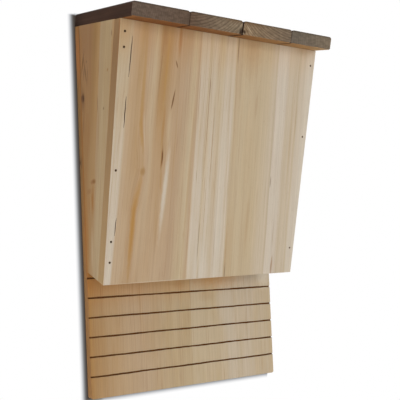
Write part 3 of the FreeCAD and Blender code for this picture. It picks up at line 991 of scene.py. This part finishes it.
def front_stave(left_one):
    bm = block((-HALF_WIDTH, 0, -SPARE_FOOT), (HALF_WIDTH, FRONT_THICK, FRONT_LENGTH))
    slant = FRONT_SKEW / (2 * HALF_WIDTH)
    saw_off(bm, (-HALF_WIDTH, 0, 0), (slant, 0, -1))
    rise = (FRONT_THICK - BEVEL_LAND) * tan(ENTRY_CUT - LEAN)
    along = Vector((1, 0, slant))
    into = Vector((0, FRONT_THICK - BEVEL_LAND, rise))
    saw_off(bm, (-HALF_WIDTH, BEVEL_LAND, 0), into.cross(along))
    joint_foot = Vector((FRONT_JOINT_FOOT, 0, slant * (FRONT_JOINT_FOOT + HALF_WIDTH)))
    joint_top = Vector((FRONT_JOINT_TOP, 0, FRONT_LENGTH))
    to_right = Vector((0, 1, 0)).cross(joint_top - joint_foot)
    if not left_one:
        to_right.negate()
    saw_off(bm, joint_foot, to_right)

    def off_joint(edge):
        return abs((middle(edge) - joint_foot).dot(to_right.normalized())) > ON_JOINT

    ease(bm, ARRIS, 2, lambda e: is_sharp(e) and off_joint(e))
    return bm


JOINT_MARKS = [
    Mark(14.6, 222, 0.7, 17, -2.3, "bark", 0.7, 0.7), Mark(16.4, 178, 0.5, 45, -2.3, "russet", 0.35, 0.8),
    Mark(22, 26, 1.6, 40, -2.3, "honey", 0.6, 0.8), Mark(23.3, 6, 0.9, 14, -2.3, "bark", 0.55, 0.8),
]
# Its head is painted darker and warmer as the roof's shade.
front_left_wood = planed_wood(
    "front_left_wood", FRONT,
    [
        (-110, "pale", "b8a68b"), (-100.5, "pale", "b8a68b"), (-98.5, "tan"), (-88, "tan", "honey"),
        (-80, "tan"), (-74, "tan", "straw"), (-68, "tan", "honey"), (-58, "tan", "honey"), (-53, "tan"),
        (-44, "b1987b"), (-36, "b5a080", "b1987b"), (-31, "straw"), (-26, "tan"), (-23.5, "pale", "cream"),
        (-16, "pale", "cream"), (-13.5, "cream", "straw"), (-9, "pale", "cream"), (1, "cream", "straw"),
        (5.5, "pale", "cream"), (15.5, "pale", "cream"), (17.5, "cream", "straw"), (20, "straw", "tan"),
    ],
    JOINT_MARKS + [
        Mark(-54, 86, 3.6, 60, 2.6, "c9bfae", 0.75), Mark(-54.5, 142, 3, 32, -1, "straw", 0.5),
        Mark(-59.8, 117, 1.8, 15, 0, "8a5c24", 0.85), Mark(-59.4, 118, 0.8, 10, 0, "5a3414", 0.9, 0.7),
        Mark(-67.5, 190, 1.2, 40, 2.5, "bark", 0.25), Mark(-61.5, 192, 1.8, 46, 1.5, "b8924f", 0.5),
        Mark(-63, 184, 6, 62, 3, "amber", 0.6), Mark(-65.5, 222, 4.5, 26, 2, "russet", 0.25),
        Mark(-60.6, 145, 2, 30, 1.5, "amber", 0.7, 0.8), Mark(-58.6, 96, 1.6, 17, -2, "amber", 0.5),
        Mark(-60.5, 56, 2.6, 30, 0, "honey", 0.6), Mark(-52.3, 169.3, 1, 11.5, 8.5, "6b4522", 0.9, 0.6),
        Mark(-51.2, 200.5, 1, 5, -20, "6b4522", 0.75, 0.7), Mark(-49.5, 224, 2.6, 24, 0, "a0682e", 0.55),
        Mark(-84.6, 54, 4, 70, 1, "a87a38", 0.85), Mark(-83.2, 170, 2.8, 72, 0, "a87f45", 0.6),
        Mark(-82.8, 140, 2.8, 28, -3, "a87f45", 0.55), Mark(-82.4, 104, 4.2, 5.5, 0, "97703c", 0.65, 0.8),
        Mark(-80.6, 135, 0.7, 26, 1, "cream", 0.5, 0.7), Mark(-13.6, 184, 0.55, 9, -2.5, "bark", 0.6, 0.6),
        Mark(-13.2, 160, 0.7, 78, -1.2, "russet", 0.55, 0.8), Mark(-62, 90, 3, 50, 0, "honey", 0.4),
        # The two honey marks at height 236, along the top edge, are painted warm shade under the roof.
        Mark(-7.5, 60, 0.5, 56, -1, "russet", 0.35, 0.8), Mark(-106, 236, 8, 44, 0, "honey", 0.45),
        Mark(-40, 236, 10, 40, 0, "honey", 0.5), Mark(-24.6, 176, 0.6, 40, -1.5, "russet", 0.45, 0.8),
        Mark(-11.6, 40, 0.7, 34, -1, "bark", 0.5, 0.8), Mark(-5.5, 128, 0.8, 60, -1.5, "russet", 0.5, 0.8),
        Mark(-20.3, 102, 0.4, 8, -5, "bark", 0.4, 0.7), Mark(-28.5, 100, 2, 120, 0, "honey", 0.45),
        Mark(-107, 150, 0.6, 90, 1, "tan", 0.6, 0.8), Mark(-103.4, 130, 0.6, 90, 1.2, "tan", 0.45, 0.8),
        # Painted highlight along the lower arris at the foot
        Mark(-45, 1.1, 72, 1.1, -0.83, "cream", 0.6, 0.6),
        Mark(-46.5, 128, 1.1, 84, -0.6, "honey", 0.5, 0.8),
        Mark(-94, 110, 0.8, 110, 1.2, "honey", 0.35, 0.8),
        Mark(-70, 120, 0.6, 100, 0.5, "honey", 0.35, 0.8),
    ],
    [Swirl(-79, 106, 14, 46, 5.0), Swirl(-59.6, 118, 5, 22, 0.6)],
    pith=(-60, 260, 0), ring_gap=3.1, ring_show=0.09, seed=21.4,
    fan=(-110, 20, 0.028, -0.04), edge_tones=("aa8b60", "835f38"), painted_shade=[(185, 236, 0.3)],
)
# Its head is painted darker and warmer as the roof's shade.
front_right_wood = planed_wood(
    "front_right_wood", FRONT,
    [
        (14, "straw", "tan"), (26, "straw"), (40, "straw"), (50, "straw"), (58, "cream", "straw"),
        (65.5, "cream"), (67.5, "b8a78f"), (69.3, "pale"), (80, "pale"), (84, "cream"), (90, "cream"),
        (94, "cream"), (95.3, "c0ae93", "b8a78f"), (98, "pale", "cream"), (110, "pale"),
    ],
    JOINT_MARKS + [
        Mark(69.6, 98.5, 0.65, 7.5, -2, "bark", 0.6, 0.6),
        Mark(67.4, 150, 0.5, 56, -2.9, "russet", 0.35, 0.8),
        Mark(82.4, 11, 1.7, 16, -1, "russet", 0.65, 0.8), Mark(80.3, 42, 1, 28, -3, "russet", 0.25),
        Mark(42, 172, 2.2, 20, 0, "russet", 0.2), Mark(93.8, 160, 0.45, 30, -2.3, "russet", 0.4, 0.7),
        # The amber and honey marks at height 238, along the top edge, are painted warm shade under the
        # roof.
        Mark(45, 56, 3, 44, -1, "honey", 0.35), Mark(29, 238, 20, 60, -2, "amber", 0.45),
        Mark(96, 238, 20, 16, 0, "honey", 0.6), Mark(26, 30, 6, 60, -2, "honey", 0.25),
        Mark(89, 140, 1.4, 80, -2.4, "honey", 0.3), Mark(96, 60, 0.5, 26, -2.4, "russet", 0.25, 0.8),
    ],
    pith=(60, 260, 0), ring_gap=2.8, ring_show=0.06, seed=27.2, cloudy=0.15, lined=0.2,
    fan=(0, 1, -0.042, -0.042), edge_tones=("tan", "tan"), painted_shade=[(195, 236, 0.2)],
)
left_checks = [
    drying_check((-98.8, 184.8), (-97.3, 219.2), 0.75, 2.0, 41),
    drying_check((-100.2, 141.1), (-99.9, 168.5), 0.75, 2.0, 42),
    drying_check((-101.9, 45.4), (-101.3, 61.7), 0.7, 1.6, 43),
]
left_bores = brad_holes(side_brads(-1, FRONT_LEFT_BRADS, front=True), FRONT, FRONT_LEFT_MOUTH)
right_bores = brad_holes(side_brads(1, FRONT_RIGHT_BRADS, front=True), FRONT, FRONT_RIGHT_MOUTH)
set_board("front_stave_left", front_stave(True), FRONT, [front_left_wood, SHADED_CUT],
          "front_board_left", left_checks + left_bores)
set_board("front_stave_right", front_stave(False), FRONT, [front_right_wood, GROOVE_CUT],
          "front_board_right", right_bores)


def roof_plank(left, right):
    """The last board's outer lower edge is worn round too."""
    bm = block((left, 0, 0), (right, ROOF_THICK, ROOF_LENGTH))

    def worn(edge):
        centre = middle(edge)
        return runs_along(edge, 2) and centre.y < ON_FACE and centre.x > HALF_WIDTH - ON_FACE

    ease(bm, ROOF_EASE, 6, lambda e: runs_along(e, 2) and middle(e).y > ROOF_THICK - ON_FACE)
    ease(bm, ROOF_WORN, 4, worn)
    ease(bm, ROOF_ARRIS, 2, is_sharp)
    return bm


ROOF_LOOKS = (
    RoofLook((-190, -30, 0), 1.7, 31.7, 0.25, ("66564a", "604e40"), ("8c5c34", "8a5a34")),
    RoofLook((-57, 58, 0), 2.6, 35.2, 0.5, ("604c3d", "8f7e67"), ("8a5a34", "94683f"), [
        Mark(1.6, 2.6, 3, 6, 30, "pitch", 0.9, 0.7), Mark(-4.5, 2.2, 3.4, 0.8, -30, "bark", 0.5, 0.8),
        Mark(-6, 11.5, 18, 4.5, 0, "bark", 0.5),
    ]),
    RoofLook((60, 67, 0), 2.3, 39.9, 0.5, ("8f785d", "796856"), ("94683f", "a87f52"), [
        Mark(5, 2.8, 1.9, 2.6, -30, "pitch", 0.85, 0.7), Mark(7.4, 4.6, 0.8, 5, -42, "bark", 0.7, 0.8),
        Mark(9.8, 5.6, 1.1, 6.5, -45, "straw", 0.5, 0.8), Mark(3.9, 0.9, 0.8, 0.8, 0, "cream", 0.6, 0.8),
        Mark(14, 11.5, 22, 4.5, 0, "bark", 0.55),
    ]),
    RoofLook((210, 20, 0), 2.0, 44.1, 0.3, ("6a6054", "7d6e5c"), ("a57b4e", "b38f63")),
)
for number, (edges, look) in enumerate(zip(ROOF_EDGES, ROOF_LOOKS)):
    wood = stained_wood(f"roof_wood_{number + 1}", edges, look)
    lines = roof_brads(number, front=False) + roof_brads(number, front=True)
    set_board(f"roof_plank_{number + 1}", roof_plank(*edges), ROOF, [wood, SHADED_CUT],
              f"roof_board_{number + 1}", brad_holes(lines, ROOF))


# The brads, the hanger plate and its screws keep their own shapes and get their steel and zinc.

steel = brad_steel("brad_steel", "332213", "573d24")
dusty_steel = brad_steel("dusty_brad_steel", "57473a", "7a6552")
zinc = zinc_plate()
for node_name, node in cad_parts.items():
    if "brads" in node_name:
        node.material_slots[0].material = dusty_steel if node_name == "front_brads_right" else steel
    elif "hanger" in node_name:
        node.material_slots[0].material = zinc


# The wall it hangs on, the floor, the light and the camera


def white_to_sight(finish):
    """1 for rays that come from the camera, a mirror or glass."""
    path = finish.tree.nodes.new("ShaderNodeLightPath").outputs
    seen = finish.calc("MAXIMUM", path["Is Camera Ray"], path["Is Glossy Ray"])
    return finish.calc("MAXIMUM", seen, path["Is Transmission Ray"])


# The painted close shadow on the wall, in metres: its top, its reach past each side of the box and below
# it, and how it fades under the roof's level.
SHADOW_TOP = 0.0510
REACH_LEFT, REACH_BELOW, REACH_ABOVE = 0.0078, 0.0075, 0.0025
FADE_BELOW, FADE_ASIDE, FADE_START = 0.0083, 0.004, 0.16
INSET_RIGHT = 0.002
INNER_FADE = (-0.10, -0.08)
SHADOW_TONES = [
    (0.0, "463e38"), (0.13, "56504b"), (0.27, "6c6a69"), (0.4, "8d8e8f"), (0.53, "b4b5b7"),
    (0.67, "d6d7d9"), (0.82, "f0f0f1"), (1.0, "ffffff"),
]


def wall_paint():
    """White, with a painted close shadow round the object, and clear from behind, so that it never hides
    the back.
    """
    material, finish = new_material("wall_paint")
    place = finish.split(finish.add("ShaderNodeTexCoord", output="Object"))

    def beyond(first, second):
        return finish.calc("MAXIMUM", finish.minus(first, second), 0.0)

    left = beyond(-HALF_WIDTH / 1000, place["X"])
    right = beyond(place["X"], HALF_WIDTH / 1000 - INSET_RIGHT)
    below = beyond(FOOT / 1000, place["Z"])
    above = beyond(place["Z"], SHADOW_TOP)
    inner = finish.span(place["X"], *INNER_FADE, way="LINEAR")
    to_left = finish.plus(finish.calc("DIVIDE", left, REACH_LEFT), inner)
    to_foot = finish.calc("DIVIDE", below, REACH_BELOW)
    to_head = finish.calc("DIVIDE", above, REACH_ABOVE)
    outer = finish.plus(finish.plus(left, right), above)
    under = finish.plus(finish.calc("DIVIDE", below, FADE_BELOW), finish.calc("DIVIDE", outer, FADE_ASIDE))
    under = finish.plus(under, FADE_START)
    away = finish.calc("MINIMUM", finish.length(finish.join(to_left, to_foot, to_head)), under)
    painted_shadow = finish.ramp(away, SHADOW_TONES)
    glow = finish.add("ShaderNodeEmission", {"Color": painted_shadow, "Strength": 1.0})
    matt = finish.add("ShaderNodeBsdfDiffuse", {"Color": (0.8, 0.8, 0.8, 1)})
    front = finish.add("ShaderNodeMixShader", {0: white_to_sight(finish), 1: matt, 2: glow})
    clear = finish.add("ShaderNodeBsdfTransparent")
    behind = finish.add("ShaderNodeNewGeometry", output="Backfacing")
    finish.surface(finish.add("ShaderNodeMixShader", {0: behind, 1: front, 2: clear}))
    return material


def floor_paint():
    material, finish = new_material("floor_paint")
    matt = finish.add("ShaderNodeBsdfDiffuse", {"Color": (0.85, 0.85, 0.84, 1)})
    paler = finish.times(white_to_sight(finish), 0.4)
    glow = finish.add("ShaderNodeEmission", {"Color": (1, 1, 1, 1), "Strength": paler})
    finish.surface(finish.add("ShaderNodeAddShader", {0: matt, 1: glow}))
    return material


# In metres, but the lap, by which the wall reaches in behind the box's outline, in millimetres
WALL_PLANE = 0.0006
FLOOR_HEIGHT = -0.7
WALL_LAP = 1.0

wall_bm = bmesh.new()
facing_out = Matrix.Translation((0, WALL_PLANE, -0.1)) @ Matrix.Rotation(pi / 2, 4, "X")
bmesh.ops.create_grid(wall_bm, x_segments=1, y_segments=1, size=3, matrix=facing_out)
aside = (HALF_WIDTH - WALL_LAP) / 1000
low, high = (FOOT + WALL_LAP) / 1000, (FOOT + BACK_TALL - WALL_LAP) / 1000
for axis, place in ((0, -aside), (0, aside), (2, low), (2, high)):
    point, plane = [0, 0, 0], [0, 0, 0]
    point[axis], plane[axis] = place, 1
    whole = wall_bm.verts[:] + wall_bm.edges[:] + wall_bm.faces[:]
    bmesh.ops.bisect_plane(wall_bm, geom=whole, dist=1e-6, plane_co=point, plane_no=plane)
behind_box = Vector((0, WALL_PLANE, (low + high) / 2))
hidden = [f for f in wall_bm.faces if (f.calc_center_median() - behind_box).length < 0.01]
bmesh.ops.delete(wall_bm, geom=hidden, context="FACES")
wall = open_piece("wall", wall_bm, [wall_paint()])

floor_bm = bmesh.new()
lying = Matrix.Translation((0, 0, FLOOR_HEIGHT))
bmesh.ops.create_grid(floor_bm, x_segments=1, y_segments=1, size=4, matrix=lying)
floor = open_piece("floor", floor_bm, [floor_paint()])

world = bpy.data.worlds.new("studio")
bpy.context.scene.world = world
world.use_nodes = True
world.node_tree.nodes.clear()
sky = Finish(world.node_tree)
SKY_ON_BOX = 0.35
strength = sky.span(white_to_sight(sky), 0, 1, SKY_ON_BOX, 1.0, "LINEAR")
sky.surface(sky.add("ShaderNodeBackground", {"Color": (1, 1, 1, 1), "Strength": strength}), "World")


LAMP_AIM = Vector((0, -0.05, -0.13))


def lamp(name, place, size, power):
    light = bpy.data.lights.new(name, "AREA")
    light.shape = "SQUARE"
    light.size = size
    light.energy = power
    thing = bpy.data.objects.new(name, light)
    thing.location = place
    thing.rotation_euler = (LAMP_AIM - Vector(place)).to_track_quat("-Z", "Y").to_euler()
    bpy.context.scene.collection.objects.link(thing)


lamp("window_right", (0.6, -1.5, -0.35), 1.3, 11.5)
lamp("window_left", (-1.3, -1.1, -0.3), 1.2, 10.5)
lamp("ceiling", (0, -0.45, 1.5), 1.0, 8.0)
lamp("behind_wall", (0.9, 1.6, 0.5), 1.2, 14.0)

camera_data = bpy.data.cameras.new("camera")
camera_data.sensor_width = 36
camera_data.lens = 57.38
camera_data.shift_x = 0.125
camera_data.shift_y = 0.10
camera = bpy.data.objects.new("camera", camera_data)
camera.location = (-0.352456, -0.568197, -0.193610)
yaw, pitch, roll = 0.508847, 0.036578, -0.039683
turned_right = Matrix.Rotation(-yaw, 4, "Z")
raised = Matrix.Rotation(pitch + pi / 2, 4, "X")
camera.rotation_euler = (turned_right @ raised @ Matrix.Rotation(roll, 4, "Z")).to_euler()
bpy.context.scene.collection.objects.link(camera)
bpy.context.scene.camera = camera
bpy.context.scene.view_settings.view_transform = "Standard"
